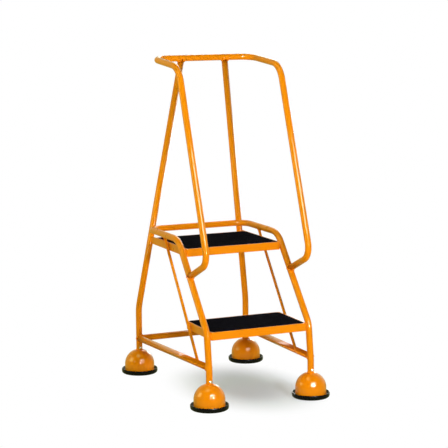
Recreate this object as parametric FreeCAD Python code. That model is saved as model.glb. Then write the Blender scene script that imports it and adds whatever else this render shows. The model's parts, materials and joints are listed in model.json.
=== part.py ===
import FreeCAD, Part
import math
import os

from FreeCAD import Vector

# Two-step rolling warehouse ladder on four domed feet with spring-loaded castors.
# Millimetres. +Z is up, the climber faces +Y, +X is to the climber's right.
# The origin is the middle of the footprint, on the floor that the wheels stand on.

# ---- driving dimensions -------------------------------------------------------------------
TUBE_R = 11.1                # frame tube, 7/8 in outside diameter
TUBE_WALL = 1.5
COPE_GAP = 0.1               # a coped end stops this far off the tube it is welded to
ROD_R = 5.0                  # solid bracing rod

FRONT_HALF = 187.5           # half spacing of the front legs, stiles and handrails
REAR_HALF = 212.0            # half spacing of the rear legs
FOOT_Y = 290.0               # front feet at -FOOT_Y, rear feet at +FOOT_Y

TREAD_Z = 258.0              # top of the lower tread
PLATFORM_Z = 507.0           # top of the platform
TOE_RAIL_Z = 534.0           # centre line of the rail round the platform
HANDRAIL_FRONT_Z = 1119.0    # handrail corner above the platform's front edge
HANDRAIL_REAR_Z = 1139.0     # rear bar of the handrail

# Side view of the front hoop, (y, z) of its corners and the radius of each bend.
LEG_KNEE = (-FOOT_Y, 130.0)
STILE_FOOT = (-274.0, 255.0)
STILE_HEAD = (-36.5, TOE_RAIL_Z)
KNEE_R, STILE_FOOT_R, STILE_HEAD_R, TOE_CORNER_R = 150.0, 60.0, 85.0, 45.0

# Side view of the handrail.
STUB_ROOT = (-132.9, 420.7)
STUB_ELBOW = (-285.0, 488.0)
HANDRAIL_FRONT_Y = -58.0
HANDRAIL_REAR_Y = 172.0
STUB_R, HANDRAIL_FRONT_R, HANDRAIL_REAR_R = 48.0, 80.0, 50.0

# Rear uprights: vertical to the knee, then leaning inward and forward to the handrail.
UPRIGHT_KNEE_Z = 242.0
UPRIGHT_KNEE_R = 200.0
UPRIGHT_TOP_X = 82.0

LOWER_RAIL_REAR_Z = 129.0
LOWER_RAIL_FRONT_Z = 142.0

ROD_FOOT = (184.0, -188.0, 139.5)
ROD_HEAD = (182.0, 111.0, TOE_RAIL_Z)

# Pressed trays with a rubber mat set into the top.
TRAY_HALF = 176.3
TRAY_DEPTH_Z = 27.0
TRAY_CORNER_R = 7.0          # the skirt's upright corners, outside
SHEET = 2.0
RECESS_Z = 2.0               # depth of the mat's seat below the rim
MAT_THICK = 3.0
TRAY_RIM = 5.0
MAT_CORNER_R = 12.0
MAT_GAP = 0.15
TREAD_FRONT_Y, TREAD_REAR_Y = -285.0, -70.0
PLATFORM_FRONT_Y, PLATFORM_REAR_Y = -81.0, 207.0
EAR_END_Y = 252.0            # the platform's side flanges run back to the uprights

# Domed foot. Heights are above the floor with the castor out.
RING_LIFT = 4.0              # the rubber ring hangs this far above the floor
DOME_R = 53.0
DOME_SPRING_Z = 36.0         # height of the sphere's centre
DOME_FOOT_Z = 9.5
CROWN_Z = 86.5               # flat crown that the leg's end stands on
SLIDE_CLEARANCE = 0.05

SOCKET_R = 9.5
SOCKET_TOP_Z = 116.0
SOCKET_FLANGE_R = 15.5
SOCKET_FLANGE_T = 3.0
SCREW_Z = 96.5
SCREW_R = 2.5

STEM_R = 6.0
STEM_TOP_Z = 120.0
CLIP_Z = 116.15
CLIP_T = 1.4
SHOULDER_Z = 47.0
SHOULDER_T = 3.5
SPIGOT_R = 5.0

WHEEL_R = 19.0
WHEEL_WIDTH = 16.4
WHEEL_TRAIL = 12.0
AXLE_R = 3.0
FORK_GAP = 17.0
FORK_SHEET = 2.5
FORK_PLATE_Z = 42.2
FORK_PLATE_T = 3.0

SPRING_WIRE_R = 1.4
SPRING_MEAN_R = 10.0
SPRING_TURNS = 4.5

FEET = {
    "front_left": (-FRONT_HALF, -FOOT_Y),
    "front_right": (FRONT_HALF, -FOOT_Y),
    "rear_left": (-REAR_HALF, FOOT_Y),
    "rear_right": (REAR_HALF, FOOT_Y),
}
SIDES = {"left": -1, "right": 1}

OUT = "parts"


# ---- general helpers ----------------------------------------------------------------------
def save(name, shape):
    """Write one node."""
    shape.exportStep(os.path.join(OUT, name + ".step"))


def coped(shape, copes):
    """The shape cut back from each tube it is welded to, without the slivers beyond its ends."""
    for cope in copes:
        shape = max(shape.cut(cope).Solids, key=lambda solid: solid.Volume)
    return shape


def cylinder(radius, start, end):
    """A solid round bar between two points."""
    run = end - start
    return Part.makeCylinder(radius, run.Length, start, run)


def bent_path(points, radii):
    """A wire of straight runs joined by tangent arcs, one radius per inner corner."""
    edges = []
    here = points[0]
    for index, radius in enumerate(radii):
        corner = points[index + 1]
        back = (points[index] - corner).normalize()
        ahead = (points[index + 2] - corner).normalize()
        half_turn = (math.pi - back.getAngle(ahead)) / 2
        reach = radius * math.tan(half_turn)
        arc_start = corner + back * reach
        arc_end = corner + ahead * reach
        bisector = (back + ahead).normalize()
        arc_middle = corner + bisector * (radius / math.cos(half_turn) - radius)
        edges.append(Part.LineSegment(here, arc_start).toShape())
        edges.append(Part.Arc(arc_start, arc_middle, arc_end).toShape())
        here = arc_end
    edges.append(Part.LineSegment(here, points[-1]).toShape())
    return Part.Wire(edges)


def sweep_round(points, radii, radius):
    """A solid round bar bent along the points."""
    path = bent_path(points, radii)
    start = points[0]
    circle = Part.Wire([Part.makeCircle(radius, start, points[1] - start)])
    return path.makePipeShell([circle], True, False)


def bent_tube(points, radii):
    """The frame's tube along the points, and the bar that copes other tubes round it."""
    outside = sweep_round(points, radii, TUBE_R)
    bore = sweep_round(points, radii, TUBE_R - TUBE_WALL)
    return outside.cut(bore), sweep_round(points, radii, TUBE_R + COPE_GAP)


def turned(profile):
    """A solid turned about Z from an (r, z) outline."""
    points = [Vector(r, 0, z) for r, z in profile]
    face = Part.Face(Part.makePolygon(points + points[:1]))
    return face.revolve(Vector(0, 0, 0), Vector(0, 0, 1), 360)


def rounded_slab(half_x, y_low, y_high, z_low, z_high, corner):
    """A flat slab with its four upright corners rounded."""
    size = Vector(2 * half_x, y_high - y_low, z_high - z_low)
    slab = Part.makeBox(size.x, size.y, size.z, Vector(-half_x, y_low, z_low))
    upright = [e for e in slab.Edges if abs(e.tangentAt(e.FirstParameter).z) > 0.99]
    return slab.makeFillet(corner, upright)


# ---- frame --------------------------------------------------------------------------------
def upright_point(z):
    """Centre of the right-hand upright's leaning run at a height."""
    part_way = (z - UPRIGHT_KNEE_Z) / (HANDRAIL_REAR_Z - UPRIGHT_KNEE_Z)
    x = REAR_HALF + (UPRIGHT_TOP_X - REAR_HALF) * part_way
    y = FOOT_Y + (HANDRAIL_REAR_Y - FOOT_Y) * part_way
    return x, y


def toe_bar_y():
    """Where the toe rail's rear bar lies, so that its corner bends just touch the uprights."""
    x, y = upright_point(TOE_RAIL_Z)
    touch = TOE_CORNER_R + 2 * TUBE_R + 0.4
    across = x - (FRONT_HALF - TOE_CORNER_R)
    return y - math.sqrt(touch ** 2 - across ** 2) + TOE_CORNER_R


def mirrored_run(side_points):
    """Points up the left side, then the same points down the right side."""
    left = [Vector(-x, y, z) for x, y, z in side_points]
    right = [Vector(x, y, z) for x, y, z in reversed(side_points)]
    return left + right


def step_hoop():
    side = [(FRONT_HALF, -FOOT_Y, CROWN_Z)]
    side += [(FRONT_HALF, y, z) for y, z in (LEG_KNEE, STILE_FOOT, STILE_HEAD)]
    side.append((FRONT_HALF, toe_bar_y(), TOE_RAIL_Z))
    radii = [KNEE_R, STILE_FOOT_R, STILE_HEAD_R, TOE_CORNER_R]
    return bent_tube(mirrored_run(side), radii + radii[::-1])


def handrail(hoop_cope):
    side = [(FRONT_HALF, *STUB_ROOT), (FRONT_HALF, *STUB_ELBOW)]
    side.append((FRONT_HALF, HANDRAIL_FRONT_Y, HANDRAIL_FRONT_Z))
    side.append((FRONT_HALF, HANDRAIL_REAR_Y, HANDRAIL_REAR_Z))
    radii = [STUB_R, HANDRAIL_FRONT_R, HANDRAIL_REAR_R]
    tube, cope = bent_tube(mirrored_run(side), radii + radii[::-1])
    return coped(tube, [hoop_cope]), cope


def upright(side, handrail_cope):
    points = [
        Vector(side * REAR_HALF, FOOT_Y, CROWN_Z),
        Vector(side * REAR_HALF, FOOT_Y, UPRIGHT_KNEE_Z),
        Vector(side * UPRIGHT_TOP_X, HANDRAIL_REAR_Y, HANDRAIL_REAR_Z),
    ]
    tube, cope = bent_tube(points, [UPRIGHT_KNEE_R])
    return coped(tube, [handrail_cope]), cope


def straight_tube(start, end):
    outside = cylinder(TUBE_R, start, end)
    bore = cylinder(TUBE_R - TUBE_WALL, start, end)
    return outside.cut(bore), cylinder(TUBE_R + COPE_GAP, start, end)


def lower_rail(side, copes):
    start = Vector(side * REAR_HALF, FOOT_Y, LOWER_RAIL_REAR_Z)
    end = Vector(side * FRONT_HALF, -FOOT_Y, LOWER_RAIL_FRONT_Z)
    tube, cope = straight_tube(start, end)
    return coped(tube, copes), cope


def rear_cross_bar(copes):
    start = Vector(-REAR_HALF, FOOT_Y, LOWER_RAIL_REAR_Z)
    end = Vector(REAR_HALF, FOOT_Y, LOWER_RAIL_REAR_Z)
    return coped(straight_tube(start, end)[0], copes)


def tread_rod(side, copes):
    x, y, z = ROD_FOOT
    head_x, head_y, head_z = ROD_HEAD
    rod = cylinder(ROD_R, Vector(side * x, y, z), Vector(side * head_x, head_y, head_z))
    return coped(rod, copes)


# ---- trays and mats -----------------------------------------------------------------------
def tray(front_y, rear_y, top_z, flange_end_y):
    """A pressed tray: recessed plate, raised rim, skirts, and side flanges that may run on."""
    low_z = top_z - TRAY_DEPTH_Z
    seat_z = top_z - RECESS_Z
    block = rounded_slab(TRAY_HALF, front_y, rear_y, low_z, top_z, TRAY_CORNER_R)
    inside = TRAY_HALF - SHEET
    hollow = rounded_slab(
        inside, front_y + SHEET, rear_y - SHEET,
        low_z, seat_z - SHEET, TRAY_CORNER_R - SHEET,
    )
    recess = rounded_slab(
        TRAY_HALF - TRAY_RIM, front_y + TRAY_RIM, rear_y - TRAY_RIM,
        seat_z, top_z + 1, MAT_CORNER_R,
    )
    body = block.cut(hollow).cut(recess)
    if flange_end_y > rear_y:
        ear_y = rear_y - TRAY_CORNER_R - SHEET
        for x in (-TRAY_HALF, inside):
            ear = Part.makeBox(SHEET, flange_end_y - ear_y, TRAY_DEPTH_Z, Vector(x, ear_y, low_z))
            body = body.fuse(ear)
    return body.removeSplitter()


def mat(front_y, rear_y, top_z):
    inset = TRAY_RIM + MAT_GAP
    seat_z = top_z - RECESS_Z
    return rounded_slab(
        TRAY_HALF - inset, front_y + inset, rear_y - inset,
        seat_z, seat_z + MAT_THICK, MAT_CORNER_R - MAT_GAP,
    )


# ---- domed feet ---------------------------------------------------------------------------
def sphere_edge(radius, crown_z):
    """The dome's quarter arc, from its skirt up to the flat crown, with both its ends."""
    crown_angle = math.acos((crown_z - DOME_SPRING_Z) / radius)
    angles = (math.pi / 2, (math.pi / 2 + crown_angle) / 2, crown_angle)
    low, middle, top = [
        Vector(radius * math.sin(a), 0, DOME_SPRING_Z + radius * math.cos(a)) for a in angles
    ]
    return Part.Arc(low, middle, top).toShape(), low, top


def dome():
    """A pressed dome with a straight skirt and a flat, pierced crown."""
    inner_r = DOME_R - SHEET
    hole_r = SOCKET_R + 0.1
    outer_arc, outer_low, outer_top = sphere_edge(DOME_R, CROWN_Z)
    inner_arc, inner_low, inner_top = sphere_edge(inner_r, CROWN_Z - SHEET)
    inner_foot, outer_foot = Vector(inner_r, 0, DOME_FOOT_Z), Vector(DOME_R, 0, DOME_FOOT_Z)
    outer_hole, inner_hole = Vector(hole_r, 0, CROWN_Z), Vector(hole_r, 0, CROWN_Z - SHEET)
    straights = [
        (inner_foot, outer_foot), (outer_foot, outer_low), (outer_top, outer_hole),
        (outer_hole, inner_hole), (inner_hole, inner_top), (inner_low, inner_foot),
    ]
    edges = [Part.LineSegment(*ends).toShape() for ends in straights] + [outer_arc, inner_arc]
    face = Part.Face(Part.Wire(Part.__sortEdges__(edges)))
    return face.revolve(Vector(0, 0, 0), Vector(0, 0, 1), 360)


def foot_ring():
    """A rubber ring that grips the dome's skirt in a slot and turns up in a lip around it."""
    slot_in, slot_out = DOME_R - SHEET, DOME_R
    return turned([
        (45.0, RING_LIFT), (59.5, RING_LIFT), (62.8, 6.5), (64.5, 11.0), (64.5, 18.0),
        (63.6, 20.0), (61.8, 20.4), (60.2, 19.0), (58.4, 15.0), (56.0, 13.2),
        (slot_out, 13.0), (slot_out, DOME_FOOT_Z), (slot_in, DOME_FOOT_Z), (slot_in, 15.0),
        (49.0, 16.0), (46.0, 13.0),
    ])


def stem_socket():
    bore = STEM_R + SLIDE_CLEARANCE
    flange_top = CROWN_Z - SHEET
    socket = turned([
        (bore, flange_top - SOCKET_FLANGE_T), (SOCKET_FLANGE_R, flange_top - SOCKET_FLANGE_T),
        (SOCKET_FLANGE_R, flange_top), (SOCKET_R, flange_top), (SOCKET_R, SOCKET_TOP_Z - 1),
        (SOCKET_R - 1, SOCKET_TOP_Z), (bore, SOCKET_TOP_Z),
    ])
    return socket.cut(screw_hole())


def screw_hole():
    radius = SCREW_R + 0.02
    return Part.makeCylinder(radius, 2 * TUBE_R, Vector(0, 0, SCREW_Z), Vector(0, -1, 0))


def fixing_screw():
    """A button-head screw that faces the front and stops short of the stem's bore."""
    tip_y = STEM_R + 1.0
    shank_length = TUBE_R - tip_y
    shank = Part.makeCylinder(SCREW_R, shank_length, Vector(0, -tip_y, SCREW_Z), Vector(0, -1, 0))
    head = turned([(0, 0), (5.2, 0), (5.0, 1.2), (4.0, 2.3), (2.6, 2.9), (0, 3.0)])
    recess = Part.Face(Part.makePolygon([
        Vector(1.7 * math.cos(math.radians(a)), 1.7 * math.sin(math.radians(a)), 1.4)
        for a in range(0, 361, 60)
    ])).extrude(Vector(0, 0, 3))
    head = head.cut(recess)
    head.rotate(Vector(0, 0, 0), Vector(1, 0, 0), 90)
    head.translate(Vector(0, -TUBE_R, SCREW_Z))
    return shank.fuse(head).removeSplitter()


# ---- castors ------------------------------------------------------------------------------
def castor_spring():
    low = SHOULDER_Z + SHOULDER_T + SPRING_WIRE_R + 0.1
    high = CROWN_Z - SHEET - SOCKET_FLANGE_T - SPRING_WIRE_R - 0.1
    helix = Part.makeHelix((high - low) / SPRING_TURNS, high - low, SPRING_MEAN_R)
    start = Vector(SPRING_MEAN_R, 0, 0)
    tangent = helix.Edges[0].tangentAt(helix.Edges[0].FirstParameter)
    circle = Part.Wire([Part.makeCircle(SPRING_WIRE_R, start, tangent)])
    spring = Part.Wire(helix.Edges).makePipeShell([circle], True, True)
    spring.translate(Vector(0, 0, low))
    return spring


def castor_stem():
    """The sliding stem: rivet head, spigot for the fork, shoulder, shaft and clip groove."""
    head_z = FORK_PLATE_Z - 0.1
    groove_low, groove_high = CLIP_Z - 0.05, CLIP_Z + CLIP_T + 0.05
    return turned([
        (0, head_z - 2.5), (6.0, head_z - 2.5), (7.5, head_z - 1.2), (7.5, head_z),
        (SPIGOT_R, head_z), (SPIGOT_R, SHOULDER_Z), (13.0, SHOULDER_Z),
        (13.0, SHOULDER_Z + SHOULDER_T), (STEM_R, SHOULDER_Z + SHOULDER_T),
        (STEM_R, groove_low), (STEM_R - 0.8, groove_low), (STEM_R - 0.8, groove_high),
        (STEM_R, groove_high), (STEM_R, STEM_TOP_Z - 1), (STEM_R - 1, STEM_TOP_Z), (0, STEM_TOP_Z),
    ])


def stem_clip():
    inner = STEM_R - 0.78
    ring = turned([(inner, CLIP_Z), (8.0, CLIP_Z), (8.0, CLIP_Z + CLIP_T), (inner, CLIP_Z + CLIP_T)])
    gap = Part.makeBox(9, 5, CLIP_T, Vector(0, -2.5, CLIP_Z))
    return ring.cut(gap)


def swivel_washer():
    low, high = FORK_PLATE_Z + FORK_PLATE_T + 0.05, SHOULDER_Z - 0.05
    inner = SPIGOT_R + SLIDE_CLEARANCE
    return turned([(inner, low), (11.0, low), (11.0, high), (inner, high)])


def castor_fork():
    """A bent sheet fork: top plate, two tapering cheeks and the axle's holes."""
    outer_x = FORK_GAP / 2 + FORK_SHEET
    plate_front, plate_back = -12.0, WHEEL_TRAIL + 9.0
    size = (2 * outer_x, plate_back - plate_front, FORK_PLATE_T)
    body = Part.makeBox(*size, Vector(-outer_x, plate_front, FORK_PLATE_Z))
    corners = [e for e in body.Edges if abs(e.tangentAt(e.FirstParameter).z) > 0.99]
    body = body.makeFillet(4.0, corners)
    cheek_low_r = 7.0
    cheek_top = FORK_PLATE_Z + FORK_PLATE_T / 2
    for x in (-outer_x, FORK_GAP / 2):
        sides = [
            (-7.0, cheek_top), (plate_back - 4.0, cheek_top),
            (WHEEL_TRAIL + cheek_low_r, WHEEL_R), (WHEEL_TRAIL - cheek_low_r, WHEEL_R),
        ]
        outline = Part.makePolygon([Vector(x, y, z) for y, z in sides + sides[:1]])
        cheek = Part.Face(outline).extrude(Vector(FORK_SHEET, 0, 0))
        boss_start = Vector(x, WHEEL_TRAIL, WHEEL_R)
        boss = cylinder(cheek_low_r, boss_start, boss_start + Vector(FORK_SHEET, 0, 0))
        body = body.fuse(cheek).fuse(boss)
    hole_start = Vector(-2 * outer_x, WHEEL_TRAIL, WHEEL_R)
    axle_hole = cylinder(AXLE_R + 0.02, hole_start, hole_start + Vector(4 * outer_x, 0, 0))
    spigot_hole = Part.makeCylinder(SPIGOT_R + SLIDE_CLEARANCE, 10, Vector(0, 0, FORK_PLATE_Z - 2))
    return body.cut(axle_hole).cut(spigot_hole).removeSplitter()


def castor_axle():
    half = FORK_GAP / 2 + FORK_SHEET + 0.1
    head = 1.5
    ends = [(0, -half - head), (3.8, -half - head), (5.0, -half - 0.6), (5.0, -half), (AXLE_R, -half)]
    outline = ends + [(r, -z) for r, z in reversed(ends)]
    axle = turned(outline)
    axle.rotate(Vector(0, 0, 0), Vector(0, 1, 0), 90)
    axle.translate(Vector(0, WHEEL_TRAIL, WHEEL_R))
    return axle


def castor_wheel():
    """A moulded wheel with a rounded tread, dished sides and a long hub."""
    bore = AXLE_R + SLIDE_CLEARANCE
    hub, tread = WHEEL_WIDTH / 2, 6.5
    half = [
        (bore, -hub), (6.5, -hub), (7.0, -tread + 1.5), (13.0, -tread + 1.5), (14.5, -tread),
        (17.6, -tread), (18.6, -tread + 1.4), (WHEEL_R, -tread + 3.2),
    ]
    wheel = turned(half + [(r, -z) for r, z in reversed(half)])
    wheel.rotate(Vector(0, 0, 0), Vector(0, 1, 0), 90)
    wheel.translate(Vector(0, WHEEL_TRAIL, WHEEL_R))
    return wheel


FOOT_PIECES = {
    "foot_dome": dome,
    "foot_ring": foot_ring,
    "stem_socket": stem_socket,
    "fixing_screw": fixing_screw,
    "castor_spring": castor_spring,
    "castor_stem": castor_stem,
    "stem_clip": stem_clip,
    "swivel_washer": swivel_washer,
    "castor_fork": castor_fork,
    "castor_axle": castor_axle,
    "castor_wheel": castor_wheel,
}


def drill_for_screws(tube, feet):
    """Pierce a leg tube's front wall for the fixing screw at each of its feet."""
    for foot in feet:
        x, y = FEET[foot]
        hole = screw_hole()
        hole.translate(Vector(x, y, 0))
        tube = tube.cut(hole)
    return tube


def build_frame():
    hoop, hoop_cope = step_hoop()
    loop, loop_cope = handrail(hoop_cope)
    uprights = {name: upright(side, loop_cope) for name, side in SIDES.items()}
    leg_copes = [hoop_cope] + [cope for _, cope in uprights.values()]
    rails = {name: lower_rail(side, leg_copes) for name, side in SIDES.items()}
    rail_copes = [cope for _, cope in rails.values()]

    save("step_frame_hoop", drill_for_screws(hoop, ("front_left", "front_right")))
    save("handrail_loop", loop)
    for name, side in SIDES.items():
        save("rear_upright_" + name, drill_for_screws(uprights[name][0], ["rear_" + name]))
        save("lower_rail_" + name, rails[name][0])
        save("tread_rod_" + name, tread_rod(side, rail_copes + [hoop_cope]))
    save("rear_cross_bar", rear_cross_bar(leg_copes + rail_copes))

    platform = tray(PLATFORM_FRONT_Y, PLATFORM_REAR_Y, PLATFORM_Z, EAR_END_Y)
    save("platform_tray", coped(platform, leg_copes))
    save("platform_mat", mat(PLATFORM_FRONT_Y, PLATFORM_REAR_Y, PLATFORM_Z))
    save("tread_tray", tray(TREAD_FRONT_Y, TREAD_REAR_Y, TREAD_Z, TREAD_REAR_Y))
    save("tread_mat", mat(TREAD_FRONT_Y, TREAD_REAR_Y, TREAD_Z))


def build_feet():
    for piece, make in FOOT_PIECES.items():
        shape = make()
        for foot, (x, y) in FEET.items():
            placed = shape.copy()
            placed.translate(Vector(x, y, 0))
            save(piece + "_" + foot, placed)


os.makedirs(OUT, exist_ok=True)
build_frame()
build_feet()
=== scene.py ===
import json
import math

import bmesh
import bpy
from mathutils import Matrix, Vector
from mathutils.bvhtree import BVHTree


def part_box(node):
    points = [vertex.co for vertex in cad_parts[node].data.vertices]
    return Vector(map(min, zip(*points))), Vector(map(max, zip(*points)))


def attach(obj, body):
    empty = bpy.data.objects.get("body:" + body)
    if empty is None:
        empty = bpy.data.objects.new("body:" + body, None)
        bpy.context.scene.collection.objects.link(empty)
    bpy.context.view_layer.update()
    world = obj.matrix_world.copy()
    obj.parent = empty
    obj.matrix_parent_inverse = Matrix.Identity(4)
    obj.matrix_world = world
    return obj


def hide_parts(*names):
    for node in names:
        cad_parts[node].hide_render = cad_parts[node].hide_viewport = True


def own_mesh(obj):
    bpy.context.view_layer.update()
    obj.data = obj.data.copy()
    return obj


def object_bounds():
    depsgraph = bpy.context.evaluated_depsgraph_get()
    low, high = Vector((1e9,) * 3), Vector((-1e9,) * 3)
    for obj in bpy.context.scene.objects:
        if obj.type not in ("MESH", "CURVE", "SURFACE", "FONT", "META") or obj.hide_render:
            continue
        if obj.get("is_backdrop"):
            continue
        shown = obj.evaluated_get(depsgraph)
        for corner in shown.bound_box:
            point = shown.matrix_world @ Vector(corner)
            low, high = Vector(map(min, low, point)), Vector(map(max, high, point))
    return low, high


# Two-step rolling warehouse ladder: welded orange tube frame, pressed trays with ribbed
# rubber mats, and domed feet that hide sprung castors. Metres, +Z up, the climber faces +Y.

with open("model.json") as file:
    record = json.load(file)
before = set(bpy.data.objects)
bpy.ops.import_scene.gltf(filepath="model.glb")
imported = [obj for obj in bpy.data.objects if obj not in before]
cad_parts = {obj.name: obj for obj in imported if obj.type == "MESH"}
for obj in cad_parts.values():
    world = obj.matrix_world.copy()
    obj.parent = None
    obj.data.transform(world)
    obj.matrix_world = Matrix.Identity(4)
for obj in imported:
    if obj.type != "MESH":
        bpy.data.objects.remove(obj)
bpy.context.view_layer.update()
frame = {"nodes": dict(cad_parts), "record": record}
NODES = frame["nodes"]
MM = 0.001

SIDES = {"left": -1, "right": 1}
FEET = ("front_left", "front_right", "rear_left", "rear_right")


def centre(node):
    low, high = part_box(node)
    return (low + high) / 2


# ---- places worked out from the frame ------------------------------------------------------
TUBE_R = 11.1 * MM
ROD_R = 5.0 * MM
FOOT_AT = {foot: centre("foot_dome_" + foot) for foot in FEET}
FRONT_HALF = FOOT_AT["front_right"].x
REAR_HALF = FOOT_AT["rear_right"].x
FOOT_Y = FOOT_AT["rear_right"].y
CROWN_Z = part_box("foot_dome_front_left")[1].z


# ---- materials -----------------------------------------------------------------------------
class Shader:
    """A small builder for one node material."""

    def __init__(self, name):
        self.material = bpy.data.materials.new(name)
        self.material.use_nodes = True
        self.tree = self.material.node_tree
        self.bsdf = self.tree.nodes["Principled BSDF"]
        self.coords = self.tree.nodes.new("ShaderNodeTexCoord").outputs["Object"]

    def node(self, kind, **settings):
        made = self.tree.nodes.new("ShaderNode" + kind)
        for key, value in settings.items():
            setattr(made, key, value)
        return made

    def link(self, source, target):
        self.tree.links.new(source, target)

    def set(self, **values):
        for key, value in values.items():
            self.bsdf.inputs[key.replace("_", " ")].default_value = value
        return self

    def noise(self, scale, detail=2.0, roughness=0.5, stretch=None):
        coords = self.coords
        if stretch:
            mapping = self.node("Mapping")
            mapping.inputs["Scale"].default_value = stretch
            self.link(coords, mapping.inputs["Vector"])
            coords = mapping.outputs["Vector"]
        made = self.node("TexNoise")
        made.inputs["Scale"].default_value = scale
        made.inputs["Detail"].default_value = detail
        made.inputs["Roughness"].default_value = roughness
        self.link(coords, made.inputs["Vector"])
        return made.outputs["Fac"]

    def spread(self, value, low, high, from_low=0.3, from_high=0.7):
        """A noise value mapped to a range."""
        made = self.node("MapRange")
        made.inputs["From Min"].default_value = from_low
        made.inputs["From Max"].default_value = from_high
        made.inputs["To Min"].default_value = low
        made.inputs["To Max"].default_value = high
        self.link(value, made.inputs["Value"])
        return made.outputs["Result"]

    def colours(self, value, low, high):
        """A noise value mapped between two colours, onto the base colour."""
        ramp = self.node("ValToRGB")
        ramp.color_ramp.elements[0].position = 0.3
        ramp.color_ramp.elements[1].position = 0.7
        ramp.color_ramp.elements[0].color = (*low, 1)
        ramp.color_ramp.elements[1].color = (*high, 1)
        self.link(value, ramp.inputs["Fac"])
        self.link(ramp.outputs["Color"], self.bsdf.inputs["Base Color"])
        return self

    def roughness(self, value, low, high):
        self.link(self.spread(value, low, high), self.bsdf.inputs["Roughness"])
        return self

    def bumps(self, *layers):
        """Stacks bump layers, each (height, strength, distance)."""
        normal = None
        for height, strength, distance in layers:
            made = self.node("Bump")
            made.inputs["Strength"].default_value = strength
            made.inputs["Distance"].default_value = distance
            self.link(height, made.inputs["Height"])
            if normal:
                self.link(normal, made.inputs["Normal"])
            normal = made.outputs["Normal"]
        self.link(normal, self.bsdf.inputs["Normal"])
        return self


def powder_coat(name, light, dark, coat):
    """Gloss powder coat: slight orange peel, faint shade drift, a hard clear surface."""
    paint = Shader(name)
    paint.colours(paint.noise(9.0, 3.0), dark, light)
    paint.roughness(paint.noise(45.0, 4.0), 0.26, 0.34)
    paint.set(Specular_IOR_Level=0.14, Specular_Tint=(1.0, 0.42, 0.06, 1))
    paint.set(Coat_Weight=coat, Coat_Roughness=0.065, Coat_IOR=1.5)
    peel = paint.noise(620.0, 1.5)
    sag = paint.noise(90.0, 1.0)
    paint.bumps((sag, 0.05, 0.0008), (peel, 0.05, 0.0002))
    return paint.material


def rubber(name, dark, light, rough, specular, grain, sheen=0.0):
    """Mottled black rubber with a fine grain; sheen is the weight of a soft clear skin."""
    made = Shader(name)
    made.colours(made.noise(35.0, 5.0, 0.6), dark, light)
    made.roughness(made.noise(160.0, 3.0), rough - 0.08, rough + 0.08)
    made.set(Specular_IOR_Level=specular)
    if sheen:
        made.set(Coat_Weight=sheen, Coat_Roughness=0.12)
    made.bumps((made.noise(grain, 4.0, 0.7), 0.25, 0.0004))
    return made.material


def plated(name, dark, light, rough):
    """Bright zinc plate: a metal with a faint spangle and fine drawing lines."""
    made = Shader(name)
    made.colours(made.noise(220.0, 4.0, 0.7), dark, light)
    made.roughness(made.noise(400.0, 2.0, stretch=(1, 1, 0.08)), rough - 0.07, rough + 0.1)
    made.set(Metallic=1.0)
    made.bumps((made.noise(900.0, 2.0, stretch=(1, 1, 0.05)), 0.1, 0.0002))
    return made.material


def moulded(name, dark, light, rough):
    """Moulded plastic with a fine matt grain."""
    made = Shader(name)
    made.colours(made.noise(60.0, 3.0), dark, light)
    made.roughness(made.noise(240.0, 3.0), rough - 0.06, rough + 0.06)
    made.bumps((made.noise(1300.0, 2.0), 0.12, 0.0002))
    return made.material


ORANGE = powder_coat("orange_powder_coat", (0.945, 0.272, 0.003), (0.905, 0.254, 0.002), 0.45)
DOME_ORANGE = powder_coat("dome_powder_coat", (0.945, 0.272, 0.003), (0.905, 0.252, 0.002), 0.80)
MAT_RUBBER = rubber(
    "mat_rubber", (0.0020, 0.0019, 0.0042), (0.0040, 0.0037, 0.0074), 0.85, 0.01, 900.0,
)
RING_RUBBER = rubber(
    "ring_rubber", (0.0016, 0.0016, 0.0032), (0.0030, 0.0030, 0.0052), 0.28, 0.07, 700.0,
    sheen=0.12,
)
ZINC = plated("zinc_plate", (0.55, 0.56, 0.58), (0.72, 0.73, 0.74), 0.3)
SCREW = plated("screw_plate", (0.70, 0.67, 0.56), (0.84, 0.81, 0.71), 0.22)
NYLON = moulded("nylon", (0.76, 0.75, 0.69), (0.85, 0.84, 0.79), 0.5)
WHEEL = moulded("wheel_plastic", (0.016, 0.016, 0.018), (0.026, 0.026, 0.029), 0.38)


# ---- meshes --------------------------------------------------------------------------------
def soften(bm, sharp_degrees=34.0):
    """Outward normals, smooth faces and sharp creases."""
    bmesh.ops.recalc_face_normals(bm, faces=bm.faces)
    for face in bm.faces:
        face.smooth = True
    limit = math.radians(sharp_degrees)
    for edge in bm.edges:
        edge.smooth = edge.calc_face_angle(0.0) < limit


def piece(name, shells, material, body="frame", replaces=(), weighted=True):
    """One object from shells of (vertices, faces), riding a body."""
    bm = bmesh.new()
    for vertices, faces in shells:
        placed = [bm.verts.new(v) for v in vertices]
        for face in faces:
            bm.faces.new([placed[i] for i in face])
    soften(bm)
    mesh = bpy.data.meshes.new(name)
    bm.to_mesh(mesh)
    bm.free()
    mesh.materials.append(material)
    made = bpy.data.objects.new(name, mesh)
    bpy.context.scene.collection.objects.link(made)
    if weighted:
        normals = made.modifiers.new("weighted_normals", "WEIGHTED_NORMAL")
        normals.keep_sharp = True
    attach(made, body)
    if replaces:
        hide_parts(*replaces)
    return made


def rounded(corners, steps=5):
    """A closed outline from (a, b, radius) corners, each rounded by an arc."""
    outline = []
    count = len(corners)
    for index, (a, b, radius) in enumerate(corners):
        corner = Vector((a, b))
        if radius <= 0:
            outline.append(corner)
            continue
        back = Vector(corners[index - 1][:2]) - corner
        ahead = Vector(corners[(index + 1) % count][:2]) - corner
        half_turn = (math.pi - back.angle(ahead)) / 2
        reach = radius * math.tan(half_turn)
        reach = min(reach, back.length * 0.49, ahead.length * 0.49)
        start, end = corner + back.normalized() * reach, corner + ahead.normalized() * reach
        for step in range(steps + 1):
            t = step / steps
            outline.append(start.lerp(corner, t).lerp(corner.lerp(end, t), t))
    return outline


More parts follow.
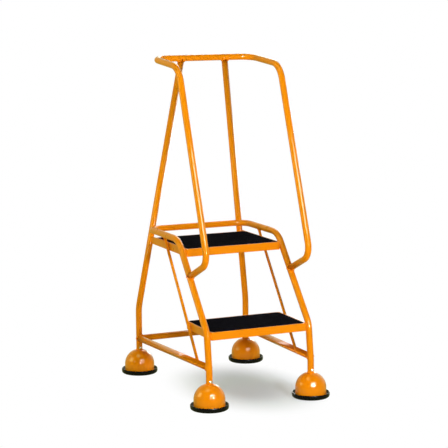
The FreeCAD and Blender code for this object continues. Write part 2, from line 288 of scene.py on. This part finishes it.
def turned(outline, at, segments=128):
    """A closed (radius, height) outline turned about a vertical axis."""
    vertices = []
    for step in range(segments):
        angle = 2 * math.pi * step / segments
        cos, sin = math.cos(angle), math.sin(angle)
        vertices += [at + Vector((r * cos, r * sin, z)) for r, z in outline]
    return vertices, loft_faces(segments, len(outline), True, True)


def loft_faces(rows, columns, rows_closed, columns_closed):
    """Quads between rows of points."""
    faces = []
    for row in range(rows if rows_closed else rows - 1):
        after = (row + 1) % rows
        for column in range(columns if columns_closed else columns - 1):
            beside = (column + 1) % columns
            faces.append((
                row * columns + column, row * columns + beside,
                after * columns + beside, after * columns + column,
            ))
    return faces


def bead(points, outward, radius, closed=True, sides=10, ripple=0.16, pitch=1.7 * MM):
    """A weld bead along points: a round bar with the ripples a welder leaves."""
    count = len(points)
    vertices, along = [], 0.0
    total = sum((points[i] - points[i - 1]).length for i in range(0 if closed else 1, count))
    waves = max(3, round(total / pitch))
    for index, point in enumerate(points):
        before = points[index - 1] if closed or index else point
        after = points[(index + 1) % count] if closed or index < count - 1 else point
        tangent = (after - before).normalized()
        up = (outward[index] - tangent * outward[index].dot(tangent)).normalized()
        side = tangent.cross(up)
        phase = 2 * math.pi * waves * along / total
        swell = radius * (1 + ripple * math.sin(phase) + 0.07 * math.sin(phase * 0.31 + 1.0))
        if not closed:
            swell *= math.sqrt(max(0.0, 1 - abs(2 * along / total - 1) ** 8)) * 0.9 + 0.1
        for step in range(sides):
            angle = 2 * math.pi * step / sides
            vertices.append(point + (up * math.cos(angle) + side * math.sin(angle)) * swell)
        along += (after - point).length
    faces = loft_faces(count, sides, closed, True)
    if not closed:
        faces.append(tuple(range(sides)))
        faces.append(tuple(range((count - 1) * sides, count * sides)))
    return vertices, faces


def surface(*nodes):
    """A ray target made of CAD nodes' faces."""
    vertices, faces = [], []
    for name in nodes:
        mesh = NODES[name].data
        start = len(vertices)
        vertices += [v.co.copy() for v in mesh.vertices]
        faces += [[start + i for i in p.vertices] for p in mesh.polygons]
    return BVHTree.FromPolygons(vertices, faces)


WELD_SINK = 0.12 * MM            # how far a bead is tucked into the branch tube
MAIN_BEAD_R = 2.6 * MM
ROD_BEAD_R = 1.8 * MM


def weld_round(start, end, branch_radius, target, radius=2.3 * MM, count=150):
    """The bead where a round bar that runs from start to end meets the target's surface."""
    axis = (end - start).normalized()
    across = axis.orthogonal().normalized()
    other = axis.cross(across)
    points, outward = [], []
    for step in range(count):
        angle = 2 * math.pi * step / count
        radial = across * math.cos(angle) + other * math.sin(angle)
        origin = start + radial * (branch_radius - WELD_SINK)
        hit, normal, _, _ = target.ray_cast(origin, axis)
        if hit is None:
            continue
        if normal.dot(axis) > 0:
            normal = -normal
        away = (normal + radial).normalized()
        points.append(hit + radial * WELD_SINK + away * radius * 0.22)
        outward.append(away)
    return bead(points, outward, radius)


# ---- frame welds ---------------------------------------------------------------------------
HOOP = surface("step_frame_hoop")
LOOP = surface("handrail_loop")
UPRIGHTS = {side: surface("rear_upright_" + side) for side in SIDES}
RAILS = {side: surface("lower_rail_" + side) for side in SIDES}


def tube_middle(target, x, z, reach=0.5):
    """Where a vertical-ish tube's middle lies at a height, and half its cut along Y."""
    front, _, _, _ = target.ray_cast(Vector((x, -reach, z)), Vector((0, 1, 0)))
    rear, _, _, _ = target.ray_cast(Vector((x, reach, z)), Vector((0, -1, 0)))
    return (front.y + rear.y) / 2, (rear.y - front.y) / 2


TOE_RAIL_Z = 0.534
UPRIGHT_KNEE = (REAR_HALF, FOOT_Y, 0.242)
UPRIGHT_HEAD = (0.082, 0.172, 1.139)
STUB = ((FRONT_HALF, -0.1329, 0.4207), (FRONT_HALF, -0.190, 0.446))
RAIL = ((REAR_HALF, FOOT_Y, 0.129), (FRONT_HALF, -FOOT_Y, 0.142))
ROD = ((0.184, -0.188, 0.1395), (0.182, 0.111, TOE_RAIL_Z))


def on_side(point, sign):
    """A right-hand point, mirrored to the left for a sign of -1."""
    return Vector((sign * point[0], point[1], point[2]))


def mix(a, b, t):
    return a.lerp(b, t)


welds = []
for side, sign in SIDES.items():
    knee, head = on_side(UPRIGHT_KNEE, sign), on_side(UPRIGHT_HEAD, sign)
    welds.append(weld_round(mix(knee, head, 0.9), head, TUBE_R, LOOP, MAIN_BEAD_R))
    root, elbow = on_side(STUB[0], sign), on_side(STUB[1], sign)
    welds.append(weld_round(elbow, root, TUBE_R, HOOP, MAIN_BEAD_R))
    rear, front = on_side(RAIL[0], sign), on_side(RAIL[1], sign)
    welds.append(weld_round(mix(rear, front, 0.8), front, TUBE_R, HOOP))
    welds.append(weld_round(mix(rear, front, 0.2), rear, TUBE_R, UPRIGHTS[side]))
    middle = Vector((0, rear.y, rear.z))
    welds.append(weld_round(mix(rear, middle, 0.3), rear, TUBE_R, UPRIGHTS[side]))
    foot, crown = on_side(ROD[0], sign), on_side(ROD[1], sign)
    welds.append(weld_round(mix(foot, crown, 0.2), foot, ROD_R, RAILS[side], ROD_BEAD_R, 90))
    welds.append(weld_round(mix(foot, crown, 0.8), crown, ROD_R, HOOP, ROD_BEAD_R, 90))


def circle_bead(at, normal, ring_radius, radius, count=90):
    """A weld bead in a flat circle."""
    across = normal.orthogonal().normalized()
    other = normal.cross(across)
    points, outward = [], []
    for step in range(count):
        angle = 2 * math.pi * step / count
        radial = across * math.cos(angle) + other * math.sin(angle)
        points.append(at + radial * ring_radius)
        outward.append(radial)
    return bead(points, outward, radius)


# The toe rail's corner bends rest against the uprights.
for side, sign in SIDES.items():
    t = (TOE_RAIL_Z - UPRIGHT_KNEE[2]) / (UPRIGHT_HEAD[2] - UPRIGHT_KNEE[2])
    on_upright = mix(on_side(UPRIGHT_KNEE, sign), on_side(UPRIGHT_HEAD, sign), t)
    touch, normal, _, _ = HOOP.find_nearest(on_upright)
    inward = (on_upright - touch).normalized()
    welds.append(circle_bead(touch + inward * 0.2 * MM, inward, 6.4 * MM, 2.1 * MM))

# Every leg stands on its dome.
for foot in FEET:
    foot_at = Vector((FOOT_AT[foot].x, FOOT_AT[foot].y, CROWN_Z))
    bead_at = foot_at + Vector((0, 0, 0.5 * MM))
    welds.append(circle_bead(bead_at, Vector((0, 0, 1)), TUBE_R + 0.6 * MM, 1.7 * MM, 130))


def crease_bead(x, z_low, z_high, fore, flange_x, radius=2.4 * MM, count=40):
    """A bead down the crease between a stile and a tray's side, on its front or rear."""
    points, outward = [], []
    for step in range(count):
        z = z_low + (z_high - z_low) * step / (count - 1)
        middle, half = tube_middle(HOOP, x, z)
        y = middle + fore * half * 0.62
        sign = 1 if x > 0 else -1
        points.append(Vector((sign * (flange_x + 1.2 * MM), y, z)))
        outward.append(Vector((0, fore, 0)))
    return bead(points, outward, radius, closed=False)


TREAD_LOW, TREAD_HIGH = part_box("tread_tray")
PLATFORM_LOW, PLATFORM_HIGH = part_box("platform_tray")
for sign in SIDES.values():
    for low, high in ((TREAD_LOW, TREAD_HIGH), (PLATFORM_LOW, PLATFORM_HIGH)):
        for fore in (-1, 1):
            welds.append(crease_bead(
                sign * FRONT_HALF, low.z + 3 * MM, high.z - 2 * MM, fore, high.x,
            ))

piece("frame_welds", welds, ORANGE, weighted=False)


# ---- trays ---------------------------------------------------------------------------------
TRAY_CORNER_R = 7.0 * MM
RECESS_CORNER_R = 12.0 * MM
RIM = 5.0 * MM
RECESS_DEPTH = 2.0 * MM
SHEET = 2.0 * MM


def rounded_rectangle(low, high, inset, corner, steps=10):
    """Points round a rectangle in plan, counter-clockwise, with rounded corners."""
    x0, x1, y0, y1 = low.x + inset, high.x - inset, low.y + inset, high.y - inset
    points = []
    for cx, cy, first in (
        (x1 - corner, y1 - corner, 0.0), (x0 + corner, y1 - corner, 0.5),
        (x0 + corner, y0 + corner, 1.0), (x1 - corner, y0 + corner, 1.5),
    ):
        for step in range(steps + 1):
            angle = math.pi * (first + 0.5 * step / steps)
            points.append((cx + corner * math.cos(angle), cy + corner * math.sin(angle)))
    return points


def tray_shell(low, high):
    """A pressed tray in plan rings from the recess floor, over the rim, round the hem."""
    top, bottom = high.z, low.z
    floor_z = top - RECESS_DEPTH
    under_z = floor_z - SHEET
    inner_corner = TRAY_CORNER_R - SHEET
    rings = [
        (RIM + 0.8 * MM, floor_z, RECESS_CORNER_R),
        (RIM, floor_z + 0.8 * MM, RECESS_CORNER_R),
        (RIM, top - 1.0 * MM, RECESS_CORNER_R),
        (RIM - 0.3 * MM, top - 0.3 * MM, RECESS_CORNER_R),
        (RIM - 1.0 * MM, top, RECESS_CORNER_R - 1.0 * MM),
    ]
    bend = 2.6 * MM
    for step in range(6):
        angle = math.pi / 2 * step / 5
        inset, drop = bend * (1 - math.sin(angle)), bend * (1 - math.cos(angle))
        rings.append((inset, top - drop, TRAY_CORNER_R))
    rings += [
        (0.0, bottom + 0.5 * MM, TRAY_CORNER_R),
        (0.5 * MM, bottom, TRAY_CORNER_R),
        (SHEET - 0.5 * MM, bottom, inner_corner),
        (SHEET, bottom + 0.5 * MM, inner_corner),
        (SHEET, under_z - 1.0 * MM, inner_corner),
        (SHEET + 1.0 * MM, under_z, inner_corner),
    ]
    vertices = []
    for inset, z, corner in rings:
        plan = rounded_rectangle(low, high, inset, max(corner, 1.0 * MM))
        vertices += [Vector((x, y, z)) for x, y in plan]
    columns = len(vertices) // len(rings)
    faces = loft_faces(len(rings), columns, False, True)
    faces.append(tuple(range(columns)))
    faces.append(tuple(range((len(rings) - 1) * columns, len(rings) * columns)))
    return vertices, faces


def box_shell(low, high, bevel):
    """A box with every edge chamfered, as a closed shell."""
    bm = bmesh.new()
    bmesh.ops.create_cube(bm, size=1.0)
    for vertex in bm.verts:
        vertex.co = Vector(low[i] if vertex.co[i] < 0 else high[i] for i in range(3))
    bmesh.ops.bevel(bm, geom=bm.edges[:], offset=bevel, segments=2, profile=0.5, affect="EDGES")
    bm.verts.index_update()
    shell = [v.co.copy() for v in bm.verts], [tuple(v.index for v in f.verts) for f in bm.faces]
    bm.free()
    return shell


piece("tread_pressing", [tray_shell(TREAD_LOW, TREAD_HIGH)], ORANGE,
      replaces=["tread_tray"])

FLANGE_X = 0.1755                # middle of the platform side flange's thickness
PLATFORM_MAT_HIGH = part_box("platform_mat")[1]
MAT_INSET = PLATFORM_HIGH.x - PLATFORM_MAT_HIGH.x
platform_rear = PLATFORM_MAT_HIGH.y + MAT_INSET
pressing_high = Vector((PLATFORM_HIGH.x, platform_rear, PLATFORM_HIGH.z))
platform = [tray_shell(PLATFORM_LOW, pressing_high)]
for side, sign in SIDES.items():
    middle_z = (PLATFORM_LOW.z + PLATFORM_HIGH.z) / 2
    origin = Vector((sign * FLANGE_X, platform_rear - 0.02, middle_z))
    meet, _, _, _ = UPRIGHTS[side].ray_cast(origin, Vector((0, 1, 0)))
    edges = sorted((sign * (PLATFORM_HIGH.x + 0.05 * MM), sign * (PLATFORM_HIGH.x - SHEET)))
    platform.append(box_shell(
        Vector((edges[0], platform_rear - 14 * MM, PLATFORM_LOW.z)),
        Vector((edges[1], meet.y + 3.0 * MM, PLATFORM_HIGH.z - 0.4 * MM)), 0.5 * MM,
    ))
piece("platform_pressing", platform, ORANGE, replaces=["platform_tray"])


# ---- mats ----------------------------------------------------------------------------------
RIB_PITCH = 4.2 * MM
RIB_HEIGHT = 0.9 * MM
RIB_BORDER = 7.0 * MM


def mat_shells(low, high):
    """A rubber mat: a rounded slab with a plain border and half-round ribs from side to side."""
    base_z = high.z - RIB_HEIGHT
    corner = RECESS_CORNER_R - 0.15 * MM
    rings = [
        (0.4 * MM, low.z, corner), (0.0, low.z + 0.4 * MM, corner),
        (0.0, base_z - 0.5 * MM, corner), (0.15 * MM, base_z - 0.15 * MM, corner),
        (0.5 * MM, base_z, corner),
    ]
    vertices = []
    for inset, z, radius in rings:
        vertices += [Vector((x, y, z)) for x, y in rounded_rectangle(low, high, inset, radius)]
    columns = len(vertices) // len(rings)
    faces = loft_faces(len(rings), columns, False, True)
    faces.append(tuple(range(columns)))
    faces.append(tuple(range((len(rings) - 1) * columns, len(rings) * columns)))
    shells = [(vertices, faces)]
    inner_corner = corner - RIB_BORDER / 2
    first, last = low.y + RIB_BORDER, high.y - RIB_BORDER
    count = int((last - first) / RIB_PITCH)
    start = (first + last - (count - 1) * RIB_PITCH) / 2
    section = rounded([
        (-1.35 * MM, -0.3 * MM, 0), (1.35 * MM, -0.3 * MM, 0),
        (0.85 * MM, RIB_HEIGHT, 0.45 * MM), (-0.85 * MM, RIB_HEIGHT, 0.45 * MM),
    ], 3)
    for index in range(count):
        y = start + index * RIB_PITCH
        near_end = min(y - first, last - y)
        cut = 0.0
        if near_end < inner_corner:
            cut = inner_corner - math.sqrt(inner_corner ** 2 - (inner_corner - near_end) ** 2)
        half = high.x - RIB_BORDER - cut
        rows = []
        taper = half - 0.8 * MM
        for x, shrink in ((-half, 0.25), (-taper, 1.0), (taper, 1.0), (half, 0.25)):
            for a, b in section:
                rows.append(Vector((x, y + a, base_z + (b if b < 0 else b * shrink))))
        rib_faces = loft_faces(4, len(section), False, True)
        rib_faces.append(tuple(range(len(section))))
        rib_faces.append(tuple(range(3 * len(section), 4 * len(section))))
        shells.append((rows, rib_faces))
    return shells


for mat_node in ("tread_mat", "platform_mat"):
    low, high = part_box(mat_node)
    piece(mat_node + "_ribbed", mat_shells(low, high), MAT_RUBBER, replaces=[mat_node])


# ---- domed feet ----------------------------------------------------------------------------
DOME_R = (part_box("foot_dome_front_left")[1].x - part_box("foot_dome_front_left")[0].x) / 2
DOME_FOOT_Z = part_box("foot_dome_front_left")[0].z
DOME_SPRING_Z = 36.0 * MM


def dome_outline():
    """The pressed dome in section: hem, skirt, quarter arc, flat crown, and back inside."""
    crown = CROWN_Z
    outside, inside = [], []
    turn = math.acos((crown - DOME_SPRING_Z) / DOME_R)
    steps = 28
    for step in range(steps + 1):
        angle = math.pi / 2 + (turn - math.pi / 2) * step / steps
        reach = Vector((math.sin(angle), math.cos(angle)))
        outside.append(Vector((0, DOME_SPRING_Z)) + reach * DOME_R)
        inside.append(Vector((0, DOME_SPRING_Z)) + reach * (DOME_R - SHEET))
    hole = 9.6 * MM
    hem = [
        Vector((DOME_R - SHEET, DOME_FOOT_Z)), Vector((DOME_R - 0.4 * MM, DOME_FOOT_Z)),
        Vector((DOME_R, DOME_FOOT_Z + 0.4 * MM)),
    ]
    skirt = [Vector((DOME_R, 20 * MM)), Vector((DOME_R, 28 * MM))]
    top = [Vector((14.5 * MM, crown)), Vector((hole, crown)), Vector((hole, crown - SHEET))]
    return hem + skirt + outside + top + inside[::-1]


# The ring's section: radius, height and corner radius of each corner, in millimetres.
RING_SECTION = [
    (45.0, 4.0, 0.5), (48.0, 4.0, 0.3), (48.6, 5.2, 0.3), (50.2, 5.2, 0.3), (50.8, 4.0, 0.3),
    (53.2, 4.0, 0.3), (53.8, 5.2, 0.3), (55.4, 5.2, 0.3), (56.0, 4.0, 0.3), (60.2, 4.0, 1.2),
    (63.4, 6.6, 1.5), (64.5, 11.0, 2.0), (64.5, 18.2, 1.5), (63.2, 20.4, 1.0), (61.4, 20.0, 1.0),
    (60.0, 17.6, 1.0), (57.6, 13.6, 1.6), (53.1, 13.0, 0.4), (53.1, 9.4, 0), (50.9, 9.4, 0),
    (50.9, 15.0, 0.3), (49.0, 16.0, 0.6), (46.0, 13.0, 1.0),
]
for foot in FEET:
    at = Vector((FOOT_AT[foot].x, FOOT_AT[foot].y, 0))
    piece("dome_" + foot, [turned(dome_outline(), at)], DOME_ORANGE,
          replaces=["foot_dome_" + foot])
    ring = rounded([(r * MM, z * MM, radius * MM) for r, z, radius in RING_SECTION], 4)
    piece("ring_" + foot, [turned(ring, at, 144)], RING_RUBBER,
          replaces=["foot_ring_" + foot])


# ---- castor springs ------------------------------------------------------------------------
WIRE_R = 1.4 * MM
COIL_R = 10 * MM
COIL_TURNS = 5.5
CLOSED_TURNS = 0.9               # at each end the wire lies against the next turn
COIL_STEPS = 40                  # sections in a turn
WIRE_SIDES = 14


def coil(middle, low_z, high_z):
    """A compression spring with closed ends, as vertices and faces."""
    end_rise = CLOSED_TURNS * 2.04 * WIRE_R
    start_z, end_z = low_z + WIRE_R, high_z - WIRE_R
    pitch = (end_z - start_z - 2 * end_rise) / (COIL_TURNS - 2 * CLOSED_TURNS)
    rows = int(COIL_TURNS * COIL_STEPS) + 1
    vertices = []
    for row in range(rows):
        turn = row / COIL_STEPS
        below = min(turn, CLOSED_TURNS) / CLOSED_TURNS * end_rise
        above = max(turn - COIL_TURNS + CLOSED_TURNS, 0) / CLOSED_TURNS * end_rise
        active = min(max(turn - CLOSED_TURNS, 0), COIL_TURNS - 2 * CLOSED_TURNS) * pitch
        angle = 2 * math.pi * turn
        outward = Vector((math.cos(angle), math.sin(angle), 0))
        at = Vector((middle.x, middle.y, start_z + below + active + above)) + outward * COIL_R
        for side in range(WIRE_SIDES):
            round_wire = 2 * math.pi * side / WIRE_SIDES
            up = Vector((0, 0, math.sin(round_wire)))
            vertices.append(at + (outward * math.cos(round_wire) + up) * WIRE_R)
    faces = loft_faces(rows, WIRE_SIDES, False, True)
    faces.append(list(range(WIRE_SIDES)))
    faces.append(list(range((rows - 1) * WIRE_SIDES, rows * WIRE_SIDES)))
    return vertices, faces


for foot in FEET:
    low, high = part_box("castor_spring_" + foot)
    spring = piece("castor_coil_" + foot, [coil((low + high) / 2, low.z, high.z)], ZINC,
                   replaces=["castor_spring_" + foot], weighted=False)
    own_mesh(spring)


# ---- carried-over CAD nodes ----------------------------------------------------------------
SLOT_MATERIALS = {
    "orange_paint": ORANGE, "dome_paint": DOME_ORANGE, "black_mat": MAT_RUBBER,
    "black_rubber": RING_RUBBER, "zinc_steel": ZINC, "screw_steel": SCREW,
    "nylon": NYLON, "wheel_plastic": WHEEL,
}
for part in frame["record"]["subparts"]:
    node = NODES[part["node"]]
    node.data.materials.clear()
    node.data.materials.append(SLOT_MATERIALS[part["material_slot"]])
    if node.hide_render:
        continue
    weld = node.modifiers.new("weld_seams", "WELD")
    weld.merge_threshold = 0.002 * MM


# ---- stage ---------------------------------------------------------------------------------
# Painted shade pool on the floor, centred where the ladder's shadow falls: inside it the floor is
# lit diffuse and darker, with its real shadows; outside it glows plain white.
SHADE_POOL_CENTRE = (0.045, -0.06, 0)
SHADE_POOL_HALF_SIZE = (0.215, 0.34)       # half size in X and Y of the painted shade pool under the ladder
SHADE_POOL_FADE = (0.25, 1.25)        # the painted shade pool fades to a plain white glow between these multiples of its size
FLOOR_GLOW = (0.47, 0.51, 0.15)  # how the far floor lights the ladder

LAMP_AIM = Vector((0, 0, 0.45))
LOBE_SHARPNESS = 5.0

# Soft lobes of surround light: direction and colour. Their tint is yellow-green.
SURROUND = (
    ((-0.7, 0.7, 0.25), (0.54, 0.56, 0.30)),
    ((0.0, 1.0, 0.25), (0.37, 0.37, 0.15)),
    ((0.7, 0.7, 0.25), (1.12, 1.20, 1.00)),
    ((1.0, 0.0, 0.25), (0.12, 0.24, 0.19)),
)


def ground():
    """A pale floor, solid from above only: a painted shade pool under the ladder, lit diffuse and
    darker with the real shadows in it, fading to a plain white glow away from the ladder.
    """
    mesh = bpy.data.meshes.new("floor")
    half = 30.0
    corners = [(-half, -half, 0), (half, -half, 0), (half, half, 0), (-half, half, 0)]
    mesh.from_pydata(corners, [], [(0, 1, 2, 3)])
    made = bpy.data.objects.new("floor", mesh)
    bpy.context.scene.collection.objects.link(made)
    pale = Shader("floor_painted_shade_pool")
    # Blue base colour offsets the yellow-green lamps and surround, so the painted shade pool
    # reads grey.
    pale.set(Base_Color=(0.65, 0.73, 0.89, 1), Roughness=0.9, Specular_IOR_Level=0.05)
    # Painted shade pool: lit diffuse floor near the ladder, fading to a white glow further out.
    offset = pale.node("VectorMath", operation="SUBTRACT")
    offset.inputs[1].default_value = SHADE_POOL_CENTRE
    pale.link(pale.coords, offset.inputs[0])
    scaled = pale.node("VectorMath", operation="DIVIDE")
    scaled.inputs[1].default_value = (*SHADE_POOL_HALF_SIZE, 1)
    pale.link(offset.outputs[0], scaled.inputs[0])
    distance = pale.node("VectorMath", operation="LENGTH")
    pale.link(scaled.outputs[0], distance.inputs[0])
    far = pale.node("MapRange", interpolation_type="SMOOTHSTEP")
    far.inputs["From Min"].default_value, far.inputs["From Max"].default_value = SHADE_POOL_FADE
    pale.link(distance.outputs["Value"], far.inputs["Value"])
    seen = pale.node("LightPath")
    colour = pale.node("MixRGB")
    colour.inputs["Color1"].default_value = (*FLOOR_GLOW, 1)
    colour.inputs["Color2"].default_value = (1, 1, 1, 1)
    pale.link(seen.outputs["Is Camera Ray"], colour.inputs["Fac"])
    glow = pale.node("Emission")
    pale.link(colour.outputs["Color"], glow.inputs["Color"])
    mixer = pale.node("MixShader")
    output = pale.tree.nodes["Material Output"]
    pale.link(far.outputs["Result"], mixer.inputs["Fac"])
    pale.link(pale.bsdf.outputs["BSDF"], mixer.inputs[1])
    pale.link(glow.outputs["Emission"], mixer.inputs[2])
    below = pale.node("NewGeometry")
    clear = pale.node("BsdfTransparent")
    one_sided = pale.node("MixShader")
    pale.link(below.outputs["Backfacing"], one_sided.inputs["Fac"])
    pale.link(mixer.outputs["Shader"], one_sided.inputs[1])
    pale.link(clear.outputs["BSDF"], one_sided.inputs[2])
    pale.link(one_sided.outputs["Shader"], output.inputs["Surface"])
    mesh.materials.append(pale.material)
    made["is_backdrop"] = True


def lamp(name, place, size, power, colour=(1, 1, 1), glint=False):
    """A soft lamp, width by height, turned to the ladder; a glint lamp shows in gloss only."""
    light = bpy.data.lights.new(name, "AREA")
    light.shape = "RECTANGLE"
    light.size, light.size_y = size
    light.energy = power
    light.color = colour
    made = bpy.data.objects.new(name, light)
    bpy.context.scene.collection.objects.link(made)
    made.location = place
    made.visible_camera = False
    made.visible_diffuse = not glint
    away = made.location - LAMP_AIM
    made.rotation_euler = away.to_track_quat("Z", "Y").to_euler()


def studio_world():
    """A dark studio with soft bright lobes, in front of a plain white backdrop."""
    world = bpy.data.worlds.new("studio")
    bpy.context.scene.world = world
    world.use_nodes = True
    tree = world.node_tree
    nodes, links = tree.nodes, tree.links

    def maths(kind, operation, first, second):
        """A maths node of two inputs, each a socket or a value."""
        made = nodes.new(kind)
        made.operation = operation
        for socket, value in zip(made.inputs, (first, second)):
            if hasattr(value, "node"):
                links.new(value, socket)
            else:
                socket.default_value = value
        return made

    toward = nodes.new("ShaderNodeTexCoord").outputs["Generated"]
    total = Vector((0, 0, 0))
    for direction, colour in SURROUND:
        axis = Vector(direction).normalized()
        lobe = maths("ShaderNodeVectorMath", "DOT_PRODUCT", toward, axis).outputs["Value"]
        lobe = maths("ShaderNodeMath", "MAXIMUM", lobe, 0.0).outputs[0]
        lobe = maths("ShaderNodeMath", "POWER", lobe, LOBE_SHARPNESS).outputs[0]
        lit = maths("ShaderNodeVectorMath", "MULTIPLY", lobe, Vector(colour)).outputs[0]
        total = maths("ShaderNodeVectorMath", "ADD", lit, total).outputs[0]
    surround = nodes["Background"]
    links.new(total, surround.inputs["Color"])
    white = nodes.new("ShaderNodeBackground")
    white.inputs["Color"].default_value = (1, 1, 1, 1)
    seen = nodes.new("ShaderNodeLightPath")
    mixer = nodes.new("ShaderNodeMixShader")
    links.new(seen.outputs["Is Camera Ray"], mixer.inputs["Fac"])
    links.new(surround.outputs["Background"], mixer.inputs[1])
    links.new(white.outputs["Background"], mixer.inputs[2])
    links.new(mixer.outputs["Shader"], nodes["World Output"].inputs["Surface"])


ground()
studio_world()
lamp("key", (0.05, -3.0, 1.08), (0.30, 0.30), 34)
lamp("key_right", (0.26, -3.0, 1.08), (0.30, 0.30), 20)
lamp("key_left", (-0.75, -3.0, 1.08), (0.22, 0.22), 16)
lamp("side", (-3.1, -1.15, 0.95), (0.20, 0.20), 6)
lamp("top_left", (-0.77, -0.44, 2.94), (1.2, 1.2), 17, (0.80, 1.0, 0.40))
lamp("low_left", (-2.76, 0.74, 1.43), (1.4, 1.4), 26, (0.75, 1.0, 0.42))
lamp("rear_soft", (1.23, 2.13, 2.22), (0.9, 0.9), 13)
lamp("key_glint", (0.05, -3.0, 1.08), (0.18, 0.18), 56, glint=True)
lamp("key_right_glint", (0.28, -3.0, 1.12), (0.18, 0.18), 56, glint=True)
lamp("key_left_glint", (-0.75, -3.0, 1.08), (0.16, 0.16), 34, glint=True)
lamp("front_high_glint", (0.0, -3.0, 2.25), (2.0, 0.7), 120, glint=True)
lamp("rear_glint", (1.75, 2.36, 0.65), (0.45, 0.45), 10, glint=True)


# ---- camera --------------------------------------------------------------------------------
CAMERA_AZIMUTH, CAMERA_ELEVATION, CAMERA_ROLL = -23.914, 8.381, -0.487
CAMERA_DISTANCE = 5.454
CAMERA_LENS = 126.42
CAMERA_AIM = Vector((-0.001, 0, 0.5706))


def camera():
    data = bpy.data.cameras.new("camera")
    data.sensor_width = 36.0
    data.lens = CAMERA_LENS
    data.clip_start, data.clip_end = 0.1, 100.0
    made = bpy.data.objects.new("camera", data)
    bpy.context.scene.collection.objects.link(made)
    a, e = math.radians(CAMERA_AZIMUTH), math.radians(CAMERA_ELEVATION)
    back = Vector((math.sin(a) * math.cos(e), -math.cos(a) * math.cos(e), math.sin(e)))
    right = Vector((math.cos(a), math.sin(a), 0))
    up = back.cross(right)
    turn = Matrix.Rotation(math.radians(CAMERA_ROLL), 3, "Z")
    axes = Matrix((right, up, back)).transposed() @ turn
    made.matrix_world = Matrix.Translation(CAMERA_AIM + back * CAMERA_DISTANCE) @ axes.to_4x4()
    bpy.context.scene.camera = made


camera()
bpy.context.scene.view_settings.view_transform = "Standard"

low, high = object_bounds()
